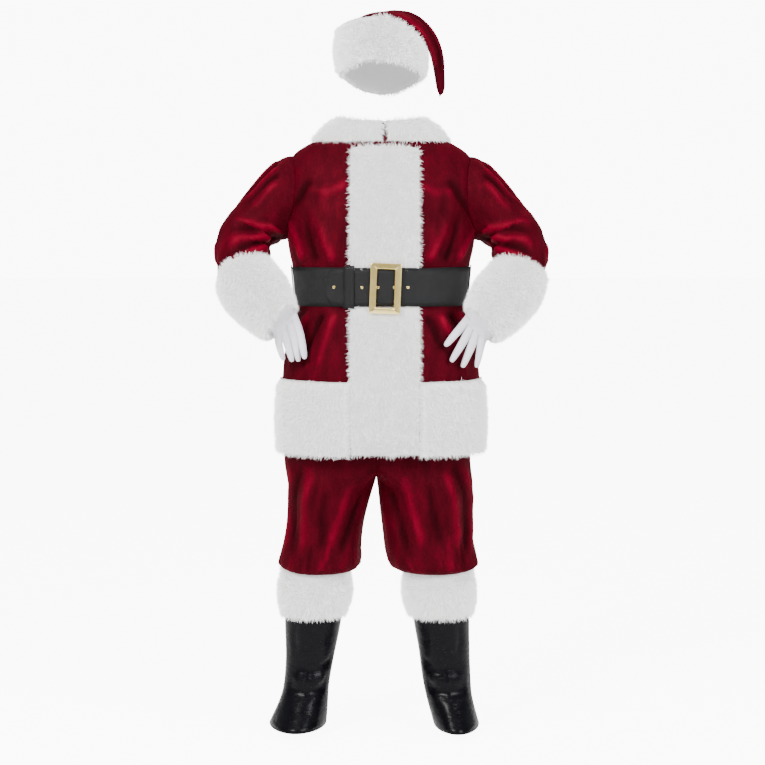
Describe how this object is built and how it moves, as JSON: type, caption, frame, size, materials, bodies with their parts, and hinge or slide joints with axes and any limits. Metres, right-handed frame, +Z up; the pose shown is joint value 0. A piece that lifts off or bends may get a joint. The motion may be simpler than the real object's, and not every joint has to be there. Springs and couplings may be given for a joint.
{
  "type": "belted santa suit costume set",
  "caption": "Red velvet holiday costume set with white fur trim: falling hat, belted hip-length jacket, trousers, boot tops and gloves, in a worn pose with hands on hips.",
  "frame": {"origin": "between the shoulders at the level where the jacket hangs from them, on the body's middle line", "axes": "+Z up, -Y towards the front, +X towards the wearer's left"},
  "size_m": [0.835, 0.4071, 1.8151],
  "materials": {
    "velvet": "crushed deep red velvet with a soft nap",
    "fur": "white long pile plush fur",
    "belt_leather": "black grained imitation leather, satin",
    "boot_vinyl": "soft black vinyl, low sheen",
    "brass": "polished pale brass",
    "glove_cloth": "matt white knit cotton"
  },
  "bodies": {
    "root": {"belt_buckle": "brass", "belt_eyelet_1": "brass", "belt_eyelet_2": "brass", "belt_eyelet_3": "brass", "belt_eyelet_4": "brass", "belt_eyelet_5": "brass", "belt_keeper": "belt_leather", "belt_loop_left": "velvet", "belt_loop_right": "velvet", "belt_strap": "belt_leather", "boot_fur_left": "fur", "boot_fur_right": "fur", "boot_top_left": "boot_vinyl", "boot_top_right": "boot_vinyl", "collar_fur": "fur", "cuff_fur_left": "fur", "cuff_fur_right": "fur", "front_fur_band": "fur", "glove_left": "glove_cloth", "glove_right": "glove_cloth", "hat_brim_fur": "fur", "hat_crown": "velvet", "hem_fur": "fur", "jacket_back": "velvet", "jacket_front_left": "velvet", "jacket_front_right": "velvet", "sleeve_left": "velvet", "sleeve_right": "velvet", "trouser_leg_left": "velvet", "trouser_leg_right": "velvet"}
  },
  "joints": []
}
